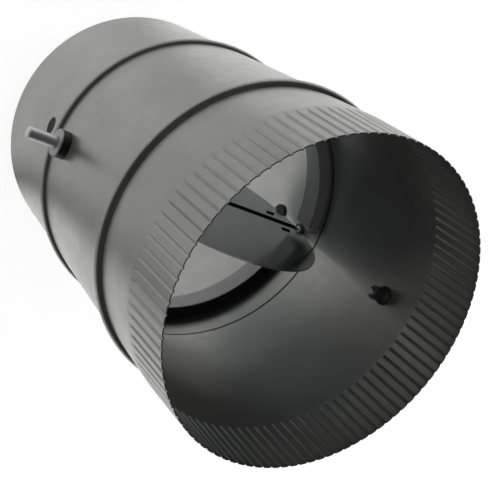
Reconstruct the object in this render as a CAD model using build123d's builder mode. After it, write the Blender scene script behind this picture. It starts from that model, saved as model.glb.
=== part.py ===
from build123d import *
import os
from math import cos, radians, sin

os.makedirs("parts", exist_ok=True)

# Duct sizes: 8 inch round, all lengths in millimetres
duct_bore = 203.2
sheet = 0.7
total_length = 309.0

# Body tube: raised beads, the front one set back from the crimped rim, and the lip at its front mouth
rear_bead_z = 103.0
front_bead_inset = 87.5
bead_width = 6.0
bead_height = 2.8
mouth_lip = 0.8

# Punched holes of the body: angle of each from the driven side, and drop below the rear bead or height
drive_hole_angle = -1.4
drive_hole_drop = 17.0
tail_hole_angle = 181.4
tail_hole_drop = 12.0
side_hole_angle = 52.0
side_hole_z = 21.0
punched_hole = 12.6
button_recess = 0.25
button_lip_dia = 15.0
button_lip_thick = 1.5

# Crimped collar, its back edge just clear of the upper stop
collar_stop_gap = 5.0
crimp_length = 42.0
crimp_draw = 2.2
flute_count = 100
flute_width = 2.6
flute_depth = 0.8
flute_lead = 1.0
flute_ramp = 5.0

# Control shaft in front of the rear bead, and its bushes
shaft_dia = 7.94
shaft_bead_gap = 21.0
shaft_reach = 26.0
shaft_tail_reach = 1.4
shaft_chamfer = 0.8
bush_flange_dia = 18.4
bush_flange_thick = 5.4
bush_hub_dia = 13.0
bush_inner_step = 0.7
running_clearance = 0.05
washer_thick = 1.2
washer_bite = 0.15
washer_groove_depth = 0.5
washer_side_clearance = 0.3
washer_edge = 0.35

# Blade: sheet disc with a pressed channel on the half-round middle of the shaft
blade_wall_clearance = 2.4
blade_sheet = 1.2
blade_open_angle = 83.3
channel_width = 8.6
channel_depth = 0.6
shaft_flat_margin = 0.5
slot_length = 8.4
slot_width = 7.0
slot_offset = 13.5

# Straps that hold the blade to the shaft
strap_width = 7.0
strap_sheet = 1.2
strap_inset = 20.8
strap_channel_clearance = 0.2
strap_tab_height = 2.2

# Half-ring stops of rolled channel and the seals on them
stop_width = 17.0
stop_height = 9.0
stop_sheet = 1.2
stop_gap_angle = 5.5
seal_thick = 1.2
seal_margin = 0.4
blade_seal_gap = 0.3

# Wall plug and its screw in front of the body's mouth, opposite the driven side
plug_mouth_gap = 12.7
plug_dia = 9.4
plug_flare_dia = 13.0
plug_length = 10.2
plug_flare_length = 1.4
plug_cone_length = 2.8
screw_dia = 4.2
screw_tip = 3.0
screw_head_dia = 8.6
screw_head_thick = 2.6
screw_head_round = 1.2
screw_slot_width = 1.2
screw_slot_depth = 1.1

# Derived sizes
bore_r = duct_bore / 2
casing_r = bore_r + sheet
collar_r = bore_r
collar_in_r = collar_r - sheet
shaft_r = shaft_dia / 2
front_bead_z = total_length - front_bead_inset
mouth_z = front_bead_z + bead_width / 2 + mouth_lip
plug_z = mouth_z + plug_mouth_gap
shaft_z = rear_bead_z + shaft_bead_gap
crimp_start_z = total_length - crimp_length
flute_crest_r = collar_r - crimp_draw
hub_inner = bore_r - bush_inner_step
flange_top = casing_r + bush_flange_thick
washer_top = flange_top + washer_thick
blade_dia = duct_bore - 2 * blade_wall_clearance
strap_spacing = blade_dia - 2 * strap_inset
blade_back = channel_depth
blade_front = blade_back + blade_sheet
lower_seal_face = shaft_z + blade_back - blade_seal_gap
upper_seal_face = shaft_z + blade_front + blade_seal_gap
lower_stop_front = lower_seal_face - seal_thick
upper_stop_back = upper_seal_face + seal_thick
collar_back_z = upper_stop_back + stop_width + collar_stop_gap
stop_inner_r = bore_r - stop_height
stop_sweep = 180.0 - 2 * stop_gap_angle

# Punched holes as angle and height: a pair across the duct behind the bead, and one in the side
drive_hole = (drive_hole_angle, rear_bead_z - drive_hole_drop)
tail_hole = (tail_hole_angle, rear_bead_z - tail_hole_drop)
side_hole = (side_hole_angle, side_hole_z)

# Planes: the blade's own plane is turned about the shaft to its open angle
tilt = radians(blade_open_angle)
blade_plane = Plane(origin=(0, 0, shaft_z), x_dir=(1, 0, 0), z_dir=(0, -sin(tilt), cos(tilt)))


def radial_plane(angle, height, radius):
    """Plane square to a radius of the duct, at an angle from the driven side."""
    turn = radians(angle)
    outward = (cos(turn), sin(turn), 0)
    centre = (radius * cos(turn), radius * sin(turn), height)
    return Plane(origin=centre, x_dir=(-sin(turn), cos(turn), 0), z_dir=outward)


def half_plane(angle):
    """Plane through the duct axis: its x is the radius and its y is the height."""
    turn = radians(angle)
    return Plane(origin=(0, 0, 0), x_dir=(cos(turn), sin(turn), 0), z_dir=(sin(turn), -cos(turn), 0))


# Body tube with two raised beads on its plain inner wall, open at both ends
with BuildPart() as casing_body:
    with BuildSketch(Plane.XZ):
        with BuildLine():
            half = bead_width / 2
            Polyline((bore_r, 0), (casing_r, 0), (casing_r, rear_bead_z - half))
            ThreePointArc(
                (casing_r, rear_bead_z - half),
                (casing_r + bead_height, rear_bead_z),
                (casing_r, rear_bead_z + half),
            )
            Line((casing_r, rear_bead_z + half), (casing_r, front_bead_z - half))
            ThreePointArc(
                (casing_r, front_bead_z - half),
                (casing_r + bead_height, front_bead_z),
                (casing_r, front_bead_z + half),
            )
            Polyline(
                (casing_r, front_bead_z + half),
                (casing_r, mouth_z),
                (bore_r, mouth_z),
                (bore_r, 0),
            )
        make_face()
    revolve(axis=Axis.Z)
    # Holes for the two bushes
    with BuildSketch(radial_plane(0, shaft_z, -casing_r - 1)):
        Circle(bush_hub_dia / 2)
    extrude(amount=2 * casing_r + 2, mode=Mode.SUBTRACT)
    # Punched holes
    for hole_angle, hole_z in (drive_hole, tail_hole, side_hole):
        with BuildSketch(radial_plane(hole_angle, hole_z, bore_r / 2)):
            Circle(punched_hole / 2)
        extrude(amount=bore_r, mode=Mode.SUBTRACT)
casing_body.part.label = "casing_body"
export_step(casing_body.part, "parts/casing_body.step")

# Hole buttons: a flat plug in each punched hole, held by a lip on the inner wall
with BuildPart() as hole_buttons:
    for hole_angle, hole_z in (drive_hole, tail_hole, side_hole):
        with BuildSketch(radial_plane(hole_angle, hole_z, bore_r - button_lip_thick)):
            Circle(button_lip_dia / 2)
        extrude(amount=button_lip_thick + sheet)
    with BuildSketch(Plane.XY):
        Circle(casing_r + 1)
        Circle(bore_r, mode=Mode.SUBTRACT)
    extrude(amount=rear_bead_z, mode=Mode.SUBTRACT)
    for hole_angle, hole_z in (drive_hole, tail_hole, side_hole):
        with BuildSketch(radial_plane(hole_angle, hole_z, bore_r - button_lip_thick)):
            Circle(punched_hole / 2)
        extrude(amount=button_lip_thick + sheet - button_recess)
hole_buttons.part.label = "hole_buttons"
export_step(hole_buttons.part, "parts/hole_buttons.step")

# Flute of the crimp: its plane follows the drawn-in wall, x round the rim and y into the duct
crimp_plane = Plane(
    origin=(collar_r, 0, crimp_start_z), x_dir=(0, 1, 0), z_dir=(-crimp_draw, 0, crimp_length)
)
flute_plane = crimp_plane.offset(flute_lead)
flute_over = sheet / 2
rib_half = flute_width / 2 + sheet / 2
groove_half = flute_width / 2 * (1 + flute_over / flute_depth)

# Slope on which a flute's groove runs in from the plain wall
groove_plane = flute_plane.offset(sheet)
ramp_dir = groove_plane.z_dir * flute_depth - groove_plane.y_dir * flute_ramp
ramp_plane = Plane(origin=groove_plane.origin, x_dir=groove_plane.x_dir, z_dir=ramp_dir)

# Rib that one flute makes on the inside, cut off level with the rim
with BuildPart() as flute_rib:
    with BuildSketch(flute_plane):
        with BuildLine():
            Polyline((-rib_half, sheet / 2), (rib_half, sheet / 2), (0, flute_depth + sheet), close=True)
        make_face()
    extrude(amount=crimp_length + 2)
    with BuildSketch(Plane.XY.offset(total_length)):
        Circle(collar_r + 2)
    extrude(amount=4, mode=Mode.SUBTRACT)

# Groove that one flute makes on the outside
with BuildPart() as flute_groove:
    with BuildSketch(groove_plane):
        with BuildLine():
            Polyline((-groove_half, -flute_over), (groove_half, -flute_over), (0, flute_depth), close=True)
        make_face()
    extrude(amount=crimp_length + 2)
    split(bisect_by=ramp_plane, keep=Keep.TOP)

# Collar: plain tube inside the body, drawn in and fluted to its free rim
with BuildPart() as crimped_collar:
    with BuildSketch(Plane.XZ):
        with BuildLine():
            Polyline(
                (collar_r, collar_back_z),
                (collar_r, crimp_start_z),
                (flute_crest_r, total_length),
                (flute_crest_r - sheet, total_length),
                (collar_in_r, crimp_start_z),
                (collar_in_r, collar_back_z),
                close=True,
            )
        make_face()
    revolve(axis=Axis.Z)
    with PolarLocations(0, flute_count):
        add(flute_rib.part)
    with PolarLocations(0, flute_count):
        add(flute_groove.part, mode=Mode.SUBTRACT)
    # Hole for the plug's screw
    with BuildSketch(radial_plane(180, plug_z, collar_in_r - 2)):
        Circle(screw_dia / 2)
    extrude(amount=sheet + 4, mode=Mode.SUBTRACT)
crimped_collar.part.label = "crimped_collar"
export_step(crimped_collar.part, "parts/crimped_collar.step")

# Lower stop: rolled channel behind the blade, its open side against the wall
with BuildPart() as lower_stop:
    with BuildSketch(half_plane(stop_gap_angle)):
        with Locations(((stop_inner_r + bore_r) / 2, lower_stop_front - stop_width / 2)):
            Rectangle(stop_height, stop_width)
        with Locations(((stop_inner_r + bore_r + stop_sheet) / 2, lower_stop_front - stop_width / 2)):
            Rectangle(stop_height - stop_sheet, stop_width - 2 * stop_sheet, mode=Mode.SUBTRACT)
    revolve(axis=Axis.Z, revolution_arc=stop_sweep)
lower_stop.part.label = "lower_stop"
export_step(lower_stop.part, "parts/lower_stop.step")

# Upper stop: the same channel in front of the blade on the other side
with BuildPart() as upper_stop:
    with BuildSketch(half_plane(180 + stop_gap_angle)):
        with Locations(((stop_inner_r + bore_r) / 2, upper_stop_back + stop_width / 2)):
            Rectangle(stop_height, stop_width)
        with Locations(((stop_inner_r + bore_r + stop_sheet) / 2, upper_stop_back + stop_width / 2)):
            Rectangle(stop_height - stop_sheet, stop_width - 2 * stop_sheet, mode=Mode.SUBTRACT)
    revolve(axis=Axis.Z, revolution_arc=stop_sweep)
upper_stop.part.label = "upper_stop"
export_step(upper_stop.part, "parts/upper_stop.step")

# Seal on the front face of the lower stop
with BuildPart() as lower_seal:
    with BuildSketch(half_plane(stop_gap_angle)):
        with Locations(((stop_inner_r + bore_r) / 2, lower_seal_face - seal_thick / 2)):
            Rectangle(stop_height - 2 * seal_margin, seal_thick)
    revolve(axis=Axis.Z, revolution_arc=stop_sweep)
lower_seal.part.label = "lower_seal"
export_step(lower_seal.part, "parts/lower_seal.step")

# Seal on the back face of the upper stop
with BuildPart() as upper_seal:
    with BuildSketch(half_plane(180 + stop_gap_angle)):
        with Locations(((stop_inner_r + bore_r) / 2, upper_seal_face + seal_thick / 2)):
            Rectangle(stop_height - 2 * seal_margin, seal_thick)
    revolve(axis=Axis.Z, revolution_arc=stop_sweep)
upper_seal.part.label = "upper_seal"
export_step(upper_seal.part, "parts/upper_seal.step")

# Blade: disc, pressed channel along the shaft, strap slots
with BuildPart() as blade:
    with BuildSketch(blade_plane.offset(blade_back)):
        Circle(blade_dia / 2)
    extrude(amount=blade_sheet)
    with BuildSketch(blade_plane):
        Circle(blade_dia / 2)
        Rectangle(blade_dia, channel_width + 2 * blade_sheet, mode=Mode.INTERSECT)
    extrude(amount=channel_depth)
    with BuildSketch(blade_plane.offset(blade_sheet)):
        Rectangle(blade_dia + 2, channel_width)
    extrude(amount=channel_depth, mode=Mode.SUBTRACT)
    with BuildSketch(blade_plane.offset(blade_back - 1)):
        with GridLocations(strap_spacing, 2 * slot_offset, 2, 2):
            RectangleRounded(slot_length, slot_width, slot_width / 2 - 0.1)
    extrude(amount=blade_sheet + 2, mode=Mode.SUBTRACT)
blade.part.label = "blade"
export_step(blade.part, "parts/blade.step")

# Shaft: round rod, half round under the blade, with a groove for each snap washer
with BuildPart() as shaft:
    tail_end = -washer_top - shaft_tail_reach
    with BuildSketch(radial_plane(0, shaft_z, tail_end)):
        Circle(shaft_r)
    extrude(amount=casing_r + shaft_reach - tail_end)
    chamfer(shaft.edges().filter_by(GeomType.CIRCLE), length=shaft_chamfer)
    with BuildSketch(blade_plane):
        Rectangle(blade_dia + 2 * shaft_flat_margin, shaft_dia + 2)
    extrude(amount=shaft_dia, mode=Mode.SUBTRACT)
    washer_room = washer_thick + 2 * washer_side_clearance
    for groove_start in (flange_top - washer_side_clearance, -washer_top - washer_side_clearance):
        with BuildSketch(radial_plane(0, shaft_z, groove_start)):
            Circle(shaft_r + 1)
            Circle(shaft_r - washer_groove_depth, mode=Mode.SUBTRACT)
        extrude(amount=washer_room, mode=Mode.SUBTRACT)
shaft.part.label = "shaft"
export_step(shaft.part, "parts/shaft.step")

# Straps: a pressed loop behind the shaft, feet on the blade, tabs in its slots
tab_out = slot_offset + strap_sheet / 2
tab_in = slot_offset - strap_sheet / 2
leg_in = channel_width / 2 + blade_sheet + strap_channel_clearance
leg_out = leg_in + strap_sheet
foot_back = blade_back - strap_sheet
tab_top = blade_back + strap_tab_height
strap_outline = [
    (tab_out, tab_top),
    (tab_out, foot_back),
    (leg_out, foot_back),
    (leg_out, -shaft_r - strap_sheet),
    (-leg_out, -shaft_r - strap_sheet),
    (-leg_out, foot_back),
    (-tab_out, foot_back),
    (-tab_out, tab_top),
    (-tab_in, tab_top),
    (-tab_in, blade_back),
    (-leg_in, blade_back),
    (-leg_in, -shaft_r),
    (leg_in, -shaft_r),
    (leg_in, blade_back),
    (tab_in, blade_back),
    (tab_in, tab_top),
]
with BuildPart() as blade_straps:
    for side in (-1, 1):
        strap_start = side * strap_spacing / 2 - strap_width / 2
        strap_origin = blade_plane.from_local_coords((strap_start, 0, 0))
        strap_plane = Plane(origin=strap_origin, x_dir=blade_plane.y_dir, z_dir=(1, 0, 0))
        with BuildSketch(strap_plane):
            with BuildLine():
                Polyline(*strap_outline, close=True)
            make_face()
        extrude(amount=strap_width)
blade_straps.part.label = "blade_straps"
export_step(blade_straps.part, "parts/blade_straps.step")

# Bush and its snap washer at the driven side and at the far side
for end_name, side_angle in (("drive", 0.0), ("tail", 180.0)):
    with BuildPart() as bush:
        with BuildSketch(radial_plane(side_angle, shaft_z, casing_r - 2)):
            Circle(bush_flange_dia / 2)
        extrude(amount=bush_flange_thick + 2)
        with BuildSketch(Plane.XY.offset(shaft_z - bush_flange_dia)):
            Circle(casing_r)
        extrude(amount=2 * bush_flange_dia, mode=Mode.SUBTRACT)
        with BuildSketch(radial_plane(side_angle, shaft_z, hub_inner)):
            Circle(bush_hub_dia / 2)
        extrude(amount=flange_top - hub_inner)
        with BuildSketch(radial_plane(side_angle, shaft_z, hub_inner - 1)):
            Circle(shaft_r + running_clearance)
        extrude(amount=flange_top - hub_inner + 2, mode=Mode.SUBTRACT)
    bush.part.label = end_name + "_bush"
    export_step(bush.part, "parts/" + end_name + "_bush.step")
    with BuildPart() as washer:
        with BuildSketch(radial_plane(side_angle, shaft_z, flange_top)):
            Circle(bush_flange_dia / 2)
            Circle(shaft_r - washer_bite, mode=Mode.SUBTRACT)
        extrude(amount=washer_thick)
        outer_edges = washer.edges().filter_by(GeomType.CIRCLE).group_by(SortBy.RADIUS)[-1]
        chamfer(outer_edges.sort_by(lambda edge: abs(edge.center().X))[-1], length=washer_edge)
    washer.part.label = end_name + "_washer"
    export_step(washer.part, "parts/" + end_name + "_washer.step")

# Wall plug: flared foot on the inner wall, round body towards the duct axis
plug_axis = Axis((0, 0, plug_z), (1, 0, 0))
with BuildPart() as wall_plug:
    with BuildSketch(Plane.XY.offset(plug_z)):
        with BuildLine():
            Polyline(
                (-collar_in_r - 1, screw_dia / 2),
                (-collar_in_r - 1, plug_flare_dia / 2),
                (-collar_in_r + plug_flare_length, plug_flare_dia / 2),
                (-collar_in_r + plug_flare_length + plug_cone_length, plug_dia / 2),
                (-collar_in_r + plug_length, plug_dia / 2),
                (-collar_in_r + plug_length, screw_dia / 2),
                close=True,
            )
        make_face()
    revolve(axis=plug_axis)
    with BuildSketch(Plane.XY.offset(plug_z - plug_flare_dia)):
        Circle(collar_r + plug_length)
        Circle(collar_in_r, mode=Mode.SUBTRACT)
    extrude(amount=2 * plug_flare_dia, mode=Mode.SUBTRACT)
wall_plug.part.label = "wall_plug"
export_step(wall_plug.part, "parts/wall_plug.step")

# Screw through the plug, with its slotted head on the outside
with BuildPart() as plug_screw:
    with BuildSketch(radial_plane(180, plug_z, collar_r - 1)):
        Circle(screw_head_dia / 2)
    extrude(amount=1 + screw_head_thick)
    fillet(plug_screw.edges().filter_by(GeomType.CIRCLE).sort_by(Axis.X)[0], radius=screw_head_round)
    with BuildSketch(Plane.XY.offset(plug_z - screw_head_dia)):
        Circle(collar_r)
    extrude(amount=2 * screw_head_dia, mode=Mode.SUBTRACT)
    with BuildSketch(radial_plane(180, plug_z, collar_in_r - plug_length - screw_tip)):
        Circle(screw_dia / 2)
    extrude(amount=plug_length + screw_tip + sheet + screw_head_thick / 2)
    with BuildSketch(radial_plane(180, plug_z, collar_r + screw_head_thick - screw_slot_depth)):
        Rectangle(screw_head_dia + 1, screw_slot_width)
    extrude(amount=screw_slot_depth + 1, mode=Mode.SUBTRACT)
plug_screw.part.label = "plug_screw"
export_step(plug_screw.part, "parts/plug_screw.step")
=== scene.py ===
import math

import bpy
from mathutils import Euler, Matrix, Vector

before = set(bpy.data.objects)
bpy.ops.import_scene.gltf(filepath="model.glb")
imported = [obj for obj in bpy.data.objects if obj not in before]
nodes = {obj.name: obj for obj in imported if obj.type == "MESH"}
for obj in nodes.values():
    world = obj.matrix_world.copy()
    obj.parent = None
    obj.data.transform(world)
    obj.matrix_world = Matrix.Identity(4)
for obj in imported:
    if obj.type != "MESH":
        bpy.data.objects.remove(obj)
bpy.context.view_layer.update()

# Camera: place, turn and lens of the photographed view
CAMERA_PLACE = (0.28867, -0.09110, 0.60809)
CAMERA_TURN_DEG = (-26.980, -27.441, -150.536)
CAMERA_LENS_MM = 57.0
CAMERA_NEAR = 0.01
SENSOR_MM = 36.0

# World: its plain light, and what metal mirrors from the walls up to the ceiling, by a direction's height
AMBIENT = 0.10
WALL_GLOSS = 1.0
CEILING_GLOSS = 0.05
WALL_TO_CEILING = (-0.1, 0.35)

# Floor: reach in metres, look, and its lift towards white for the camera from near to far
FLOOR_REACH = 6.0
FLOOR_SHADE = 0.9
FLOOR_ROUGH = 0.9
FLOOR_LIFT = (0.8, 1.0)
FLOOR_LIFT_SPAN = (0.9, 1.7)

# Floor as metal mirrors it: level by direction in degrees from the driven side, its fade with distance in
# metres, and the level inside the duct with the soft edge there
MIRROR_LEVELS = ((-86, 1.0), (-65, 0.56), (-36, 0.76), (0, 0.68), (22, 0.62), (37, 0.15), (51, 1.0))
MIRROR_FADE_SPAN = (0.14, 0.30)
MIRROR_FAR = 0.80
MIRROR_INSIDE = 1.0
DUCT_INSIDE_R = 0.097
DUCT_INSIDE_SOFT = 0.004

# Low soft lamps round the part: direction in degrees from the driven side, and power in watts
SIDE_LAMPS = ((-150, 2.6), (-110, 4.4), (-65, 3.4), (-20, 2.6), (25, 1.4), (70, 1.2), (115, 3.6), (160, 2.4))
LAMP_DISTANCE = 1.1
LAMP_HEIGHT = 0.10
LAMP_SIZE = (0.9, 0.2)

# Light coming in through both open ends: place along the duct, turn, power in watts, and whether metal
# mirrors it
END_LIGHTS = ((0.003, math.pi, 0.16, False), (0.308, 0.0, 0.03, True))
END_LIGHT_SIZE = 0.19

# Casing: display greys with their warmth and green, share of metal, roughness, and the noise scales of its
# clouds, sheen and relief
DUCT_GREYS = (133, 147)
DUCT_TINT = (0.8, 1.8)
DUCT_METAL = 0.80
DUCT_ROUGH = (0.28, 0.35)
DUCT_SCALES = (22.0, 130.0, 900.0)

# Collar: its cut edge inside the body, how far painted shade reaches from it, and a radius between its two
# faces
COLLAR_EDGE_Z = 0.1493
COLLAR_SHADE_BAND = 0.0018
COLLAR_SHADE_SOFT = 0.0002
COLLAR_SHADE_GREY = 18
COLLAR_FACE_R = 0.1012
COLLAR_FACE_SOFT = 0.0001

# Blade: its look as for the casing, the height of its shaft, and its angle at rest
BLADE_GREYS = (130, 140)
BLADE_TINT = (-4, 1.5)
BLADE_METAL = 0.9
BLADE_SPECULAR = 0.5
BLADE_ROUGH = (0.15, 0.20)
BLADE_SCALES = (20.0, 90.0, 12.0)
SHAFT_Z = 0.124
BLADE_OPEN_DEG = 83.3

# Blade's pressed channel: distances from the shaft line over which its painted shade ends, and its grey
CHANNEL_SHADE_EDGE = (0.0046, 0.0052)
CHANNEL_SHADE_GREY = 28
CHANNEL_SHADE_WARM = -2

# Other metal pieces: display greys, share of metal, roughness and noise scale of the clouds; then how many
# times finer the sheen and the relief are
METAL_LOOKS = {
    "stop_sheet": ((132, 144), 0.30, (0.42, 0.52), 22.0),
    "shaft_plate": ((190, 204), 0.70, (0.42, 0.48), 60.0),
    # dark_steel: its near-black grey is painted shade for the blade's slots round the strap tabs
    "dark_steel": ((18, 26), 0.30, (0.50, 0.60), 60.0),
    "washer_plate": ((140, 156), 0.50, (0.40, 0.50), 60.0),
    "screw_plate": ((150, 170), 0.80, (0.30, 0.40), 60.0),
}
METAL_FINER = (6, 40)

# Rubber and plastic pieces: display greys, roughness and warmth; then the noise scale of the clouds, how many
# times finer the sheen and the relief are, and how far the roughness spreads to each side
PLAIN_LOOKS = {
    # bush_plastic: its black is painted shade for the bushes' sides below the washers
    "bush_plastic": ((16, 24), 0.5, 0.0),
    "seal_rubber": ((12, 18), 0.9, 1.0),
    "plug_rubber": ((22, 30), 0.6, 0.0),
    "button_rubber": ((18, 24), 0.8, 0.0),
}
PLAIN_SCALE = 60.0
PLAIN_FINER = (3, 12)
PLAIN_ROUGH_SPREAD = 0.06

# Middle span that a noise value mostly keeps to
NOISE_SPAN = (0.3, 0.7)
WHITE = (1, 1, 1, 1)


def linear(value):
    """Linear light for a display value from 0 to 255."""
    share = value / 255.0
    if share <= 0.04045:
        return share / 12.92
    return ((share + 0.055) / 1.055) ** 2.4


def grey(level, warm=0.0, green=0.0):
    """Colour of a nearly neutral display grey, a little warm or cool, or a little green."""
    return (linear(level + warm), linear(level + green), linear(level - warm), 1.0)


def fresh_tree(material):
    """Empties a material's node tree and gives it back with a new shader."""
    material.use_nodes = True
    tree = material.node_tree
    tree.nodes.clear()
    output = tree.nodes.new("ShaderNodeOutputMaterial")
    shader = tree.nodes.new("ShaderNodeBsdfPrincipled")
    tree.links.new(shader.outputs["BSDF"], output.inputs["Surface"])
    return tree, shader


def own_place(tree):
    """Place in the piece's own frame."""
    return tree.nodes.new("ShaderNodeTexCoord").outputs["Object"]


def split(tree, vector):
    """The three outputs X, Y and Z of a vector."""
    node = tree.nodes.new("ShaderNodeSeparateXYZ")
    tree.links.new(vector, node.inputs["Vector"])
    return node.outputs


def length(tree, vector):
    """Length of a vector."""
    node = tree.nodes.new("ShaderNodeVectorMath")
    node.operation = "LENGTH"
    tree.links.new(vector, node.inputs[0])
    return node.outputs["Value"]


def combine(tree, operation, first, second):
    """Result of a math node on two values of the tree."""
    node = tree.nodes.new("ShaderNodeMath")
    node.operation = operation
    tree.links.new(first, node.inputs[0])
    tree.links.new(second, node.inputs[1])
    return node.outputs["Value"]


def map_range(tree, value, span, ends, interpolation="LINEAR"):
    """Maps a value from a span to two end values, and holds it there beyond the span."""
    node = tree.nodes.new("ShaderNodeMapRange")
    node.interpolation_type = interpolation
    for name, number in zip(("From Min", "From Max", "To Min", "To Max"), (*span, *ends)):
        node.inputs[name].default_value = number
    tree.links.new(value, node.inputs["Value"])
    return node.outputs["Result"]


def below(tree, value, limit, soft):
    """1 where a value is under a limit, fading to 0 over a short span."""
    return map_range(tree, value, (limit - soft, limit + soft), (1.0, 0.0))


def noise(tree, scale, detail=4.0, rough=0.55):
    """Noise value in the piece's own frame."""
    texture = tree.nodes.new("ShaderNodeTexNoise")
    texture.inputs["Scale"].default_value = scale
    texture.inputs["Detail"].default_value = detail
    texture.inputs["Roughness"].default_value = rough
    tree.links.new(own_place(tree), texture.inputs["Vector"])
    return texture.outputs["Fac"]


def ramp(tree, value, stops):
    """Colour ramp over a value; stops are (position, colour)."""
    node = tree.nodes.new("ShaderNodeValToRGB")
    band = node.color_ramp
    while len(band.elements) < len(stops):
        band.elements.new(0.5)
    for element, (position, colour) in zip(band.elements, stops):
        element.position = position
        element.color = colour
    tree.links.new(value, node.inputs["Fac"])
    return node.outputs["Color"]


def clouds(tree, cloud, greys, warm=0.0, green=0.0):
    """Soft cloudy colour between two greys, from a noise value."""
    stops = [(position, grey(level, warm, green)) for position, level in zip(NOISE_SPAN, greys)]
    return ramp(tree, cloud, stops)


def darkened(tree, colour, share, dark):
    """A colour that turns to a dark one by a share."""
    mix = tree.nodes.new("ShaderNodeMix")
    mix.data_type = "RGBA"
    mix.inputs["B"].default_value = dark
    tree.links.new(share, mix.inputs["Factor"])
    tree.links.new(colour, mix.inputs["A"])
    return mix.outputs["Result"]


def roughen(tree, shader, grain, ends):
    """Roughness between two ends, from a noise value."""
    tree.links.new(map_range(tree, grain, NOISE_SPAN, ends), shader.inputs["Roughness"])


def bump(tree, shader, value, strength, distance):
    """Fine surface relief from a value."""
    node = tree.nodes.new("ShaderNodeBump")
    node.inputs["Strength"].default_value = strength
    node.inputs["Distance"].default_value = distance
    tree.links.new(value, node.inputs["Height"])
    tree.links.new(node.outputs["Normal"], shader.inputs["Normal"])


def metal_look(material, greys, metal, rough, scale):
    """Satin or plated metal with a soft cloudy colour and fine grain."""
    tree, shader = fresh_tree(material)
    tree.links.new(clouds(tree, noise(tree, scale), greys), shader.inputs["Base Color"])
    shader.inputs["Metallic"].default_value = metal
    roughen(tree, shader, noise(tree, scale * METAL_FINER[0], detail=3.0), rough)
    bump(tree, shader, noise(tree, scale * METAL_FINER[1], detail=2.0), strength=0.06, distance=0.0004)


def plain_look(material, greys, rough, warm):
    """Rubber or plastic with a faint mottle."""
    tree, shader = fresh_tree(material)
    tree.links.new(clouds(tree, noise(tree, PLAIN_SCALE), greys, warm), shader.inputs["Base Color"])
    rough_ends = (rough - PLAIN_ROUGH_SPREAD, rough + PLAIN_ROUGH_SPREAD)
    roughen(tree, shader, noise(tree, PLAIN_SCALE * PLAIN_FINER[0]), rough_ends)
    relief = noise(tree, PLAIN_SCALE * PLAIN_FINER[1], detail=2.0)
    bump(tree, shader, relief, strength=0.1, distance=0.0003)


def blade_across(tree):
    """Distance from the shaft line, measured along the blade's face."""
    tilt = math.radians(BLADE_OPEN_DEG)
    along = tree.nodes.new("ShaderNodeVectorMath")
    along.operation = "DOT_PRODUCT"
    along.inputs[1].default_value = (0.0, math.cos(tilt), math.sin(tilt))
    tree.links.new(own_place(tree), along.inputs[0])
    centred = tree.nodes.new("ShaderNodeMath")
    centred.operation = "SUBTRACT"
    centred.inputs[1].default_value = SHAFT_Z * math.sin(tilt)
    tree.links.new(along.outputs["Value"], centred.inputs[0])
    size = tree.nodes.new("ShaderNodeMath")
    size.operation = "ABSOLUTE"
    tree.links.new(centred.outputs["Value"], size.inputs[0])
    return size.outputs["Value"]


def blade_look(material):
    """Smooth sheet; painted shade makes the pressed channel over the shaft dark and dull."""
    tree, shader = fresh_tree(material)
    # Painted shade: the pressed channel turns dark grey, without metal or specular
    channel = map_range(tree, blade_across(tree), CHANNEL_SHADE_EDGE, (1.0, 0.0))
    cloud_scale, sheen_scale, relief_scale = BLADE_SCALES
    sheet = clouds(tree, noise(tree, cloud_scale), BLADE_GREYS, *BLADE_TINT)
    colour = darkened(tree, sheet, channel, grey(CHANNEL_SHADE_GREY, CHANNEL_SHADE_WARM))
    tree.links.new(colour, shader.inputs["Base Color"])
    for name, level in (("Metallic", BLADE_METAL), ("Specular IOR Level", BLADE_SPECULAR)):
        tree.links.new(map_range(tree, channel, (0.0, 1.0), (level, 0.0)), shader.inputs[name])
    roughen(tree, shader, noise(tree, sheen_scale, detail=3.0), BLADE_ROUGH)
    bump(tree, shader, noise(tree, relief_scale, detail=2.0), strength=0.05, distance=0.0010)


def duct_look(material):
    """Satin galvanised sheet; painted shade darkens the collar's inner face along its cut edge inside the
    body.
    """
    tree, shader = fresh_tree(material)
    axes = split(tree, own_place(tree))
    flat = tree.nodes.new("ShaderNodeCombineXYZ")
    tree.links.new(axes["X"], flat.inputs["X"])
    tree.links.new(axes["Y"], flat.inputs["Y"])
    # Painted shade: a dark band on the collar's inner face along its cut edge
    inside = below(tree, length(tree, flat.outputs["Vector"]), COLLAR_FACE_R, COLLAR_FACE_SOFT)
    behind = below(tree, axes["Z"], COLLAR_EDGE_Z + COLLAR_SHADE_BAND, COLLAR_SHADE_SOFT)
    edge = combine(tree, "MULTIPLY", inside, behind)
    cloud_scale, sheen_scale, relief_scale = DUCT_SCALES
    sheet = clouds(tree, noise(tree, cloud_scale, detail=9.0, rough=0.7), DUCT_GREYS, *DUCT_TINT)
    tree.links.new(darkened(tree, sheet, edge, grey(COLLAR_SHADE_GREY)), shader.inputs["Base Color"])
    shader.inputs["Metallic"].default_value = DUCT_METAL
    roughen(tree, shader, noise(tree, sheen_scale, detail=3.0), DUCT_ROUGH)
    bump(tree, shader, noise(tree, relief_scale, detail=2.0), strength=0.06, distance=0.0004)


def mirror_level(tree):
    """Level of the floor in a mirror: changes round the part, fades outward, differs inside the duct."""
    place = own_place(tree)
    axes = split(tree, place)
    turn = combine(tree, "ARCTAN2", axes["Y"], axes["X"])
    stops = [((angle + 180) / 360, (level, level, level, 1.0)) for angle, level in MIRROR_LEVELS]
    around = ramp(tree, map_range(tree, turn, (-math.pi, math.pi), (0.0, 1.0)), stops)
    radius = length(tree, place)
    outward = map_range(tree, radius, MIRROR_FADE_SPAN, (1.0, MIRROR_FAR))
    level = tree.nodes.new("ShaderNodeMix")
    level.inputs["B"].default_value = MIRROR_INSIDE
    tree.links.new(below(tree, radius, DUCT_INSIDE_R, DUCT_INSIDE_SOFT), level.inputs["Factor"])
    tree.links.new(combine(tree, "MULTIPLY", around, outward), level.inputs["A"])
    return level.outputs["Result"]


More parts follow.
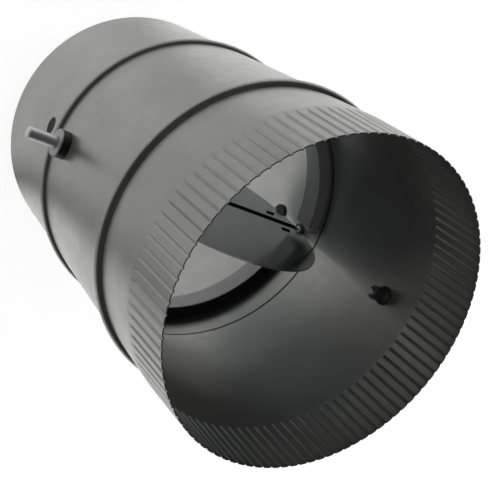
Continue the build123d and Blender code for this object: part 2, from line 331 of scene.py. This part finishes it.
def floor_look(material):
    """Pale floor, lifted to white for the camera and to its mirror level for metal and glass."""
    tree, shader = fresh_tree(material)
    shader.inputs["Base Color"].default_value = (FLOOR_SHADE, FLOOR_SHADE, FLOOR_SHADE, 1)
    shader.inputs["Roughness"].default_value = FLOOR_ROUGH
    shader.inputs["Emission Color"].default_value = WHITE
    path = tree.nodes.new("ShaderNodeLightPath").outputs
    seen_lift = map_range(tree, length(tree, own_place(tree)), FLOOR_LIFT_SPAN, FLOOR_LIFT)
    camera_lift = combine(tree, "MULTIPLY", path["Is Camera Ray"], seen_lift)
    mirrored = combine(tree, "MAXIMUM", path["Is Glossy Ray"], path["Is Transmission Ray"])
    mirror_lift = combine(tree, "MULTIPLY", mirrored, mirror_level(tree))
    lift = combine(tree, "MAXIMUM", camera_lift, mirror_lift)
    tree.links.new(lift, shader.inputs["Emission Strength"])


def background(tree):
    """White background: the socket of its strength, and its shader."""
    node = tree.nodes.new("ShaderNodeBackground")
    node.inputs["Color"].default_value = WHITE
    return node.inputs["Strength"], node.outputs["Background"]


def mix_shaders(tree, share, first, second):
    """First shader, turning to the second by a share."""
    node = tree.nodes.new("ShaderNodeMixShader")
    tree.links.new(share, node.inputs["Fac"])
    tree.links.new(first, node.inputs[1])
    tree.links.new(second, node.inputs[2])
    return node.outputs["Shader"]


def add_light(name, shape, size, watts):
    """Area lamp that the camera doesn't see."""
    data = bpy.data.lights.new(name, "AREA")
    data.shape = shape
    data.size = size
    data.energy = watts
    light = bpy.data.objects.new(name, data)
    light.visible_camera = False
    bpy.context.scene.collection.objects.link(light)
    return light


# Materials of the pieces
slots = {}
for piece in nodes.values():
    for held in piece.material_slots:
        slots[held.material.name] = held.material

duct_look(slots["galvanised_sheet"])
blade_look(slots["blade_sheet"])
for slot, look in METAL_LOOKS.items():
    metal_look(slots[slot], *look)
for slot, look in PLAIN_LOOKS.items():
    plain_look(slots[slot], *look)

# Floor
floor_mesh = bpy.data.meshes.new("floor")
corners = [(x * FLOOR_REACH, y * FLOOR_REACH, 0) for x, y in ((-1, -1), (1, -1), (1, 1), (-1, 1))]
floor_mesh.from_pydata(corners, [], [(0, 1, 2, 3)])
floor = bpy.data.objects.new("floor", floor_mesh)
bpy.context.scene.collection.objects.link(floor)
floor_material = bpy.data.materials.new("floor")
floor_look(floor_material)
floor_mesh.materials.append(floor_material)

# World: dim, with pale walls and a dark ceiling where metal mirrors it, and white to the camera
world = bpy.data.worlds.new("studio")
bpy.context.scene.world = world
world.use_nodes = True
sky = world.node_tree
sky.nodes.clear()
sky_output = sky.nodes.new("ShaderNodeOutputWorld")
sky_path = sky.nodes.new("ShaderNodeLightPath").outputs
direction = sky.nodes.new("ShaderNodeTexCoord").outputs["Generated"]
room_ends = (WALL_GLOSS, CEILING_GLOSS)
room_level = map_range(sky, split(sky, direction)["Z"], WALL_TO_CEILING, room_ends, "SMOOTHSTEP")
room_strength, room = background(sky)
sky.links.new(room_level, room_strength)
dim_strength, dim_sky = background(sky)
dim_strength.default_value = AMBIENT
white_strength, white_sky = background(sky)
white_strength.default_value = 1.0
unseen_sky = mix_shaders(sky, sky_path["Is Glossy Ray"], dim_sky, room)
whole_sky = mix_shaders(sky, sky_path["Is Camera Ray"], unseen_sky, white_sky)
sky.links.new(whole_sky, sky_output.inputs["Surface"])

# Low soft lamps all round
for lamp_angle, lamp_watts in SIDE_LAMPS:
    lamp = add_light("side_lamp", "RECTANGLE", LAMP_SIZE[0], lamp_watts)
    lamp.data.size_y = LAMP_SIZE[1]
    turn = math.radians(lamp_angle)
    outward = Vector((math.cos(turn), math.sin(turn), 0))
    lamp.location = outward * LAMP_DISTANCE + Vector((0, 0, LAMP_HEIGHT))
    lamp.rotation_euler = outward.to_track_quat("Z", "Y").to_euler()
    lamp.visible_glossy = False

# Light through the open ends
for end_z, end_turn, end_watts, end_mirrored in END_LIGHTS:
    end_light = add_light("end_light", "DISK", END_LIGHT_SIZE, end_watts)
    end_light.location = (0, 0, end_z)
    end_light.rotation_euler = (end_turn, 0, 0)
    end_light.visible_glossy = end_mirrored

# Camera
camera_data = bpy.data.cameras.new("camera")
camera_data.sensor_width = SENSOR_MM
camera_data.lens = CAMERA_LENS_MM
camera_data.clip_start = CAMERA_NEAR
camera = bpy.data.objects.new("camera", camera_data)
camera.location = CAMERA_PLACE
camera.rotation_euler = Euler([math.radians(turn) for turn in CAMERA_TURN_DEG], "XYZ")
bpy.context.scene.collection.objects.link(camera)
bpy.context.scene.camera = camera
bpy.context.scene.view_settings.view_transform = "Standard"
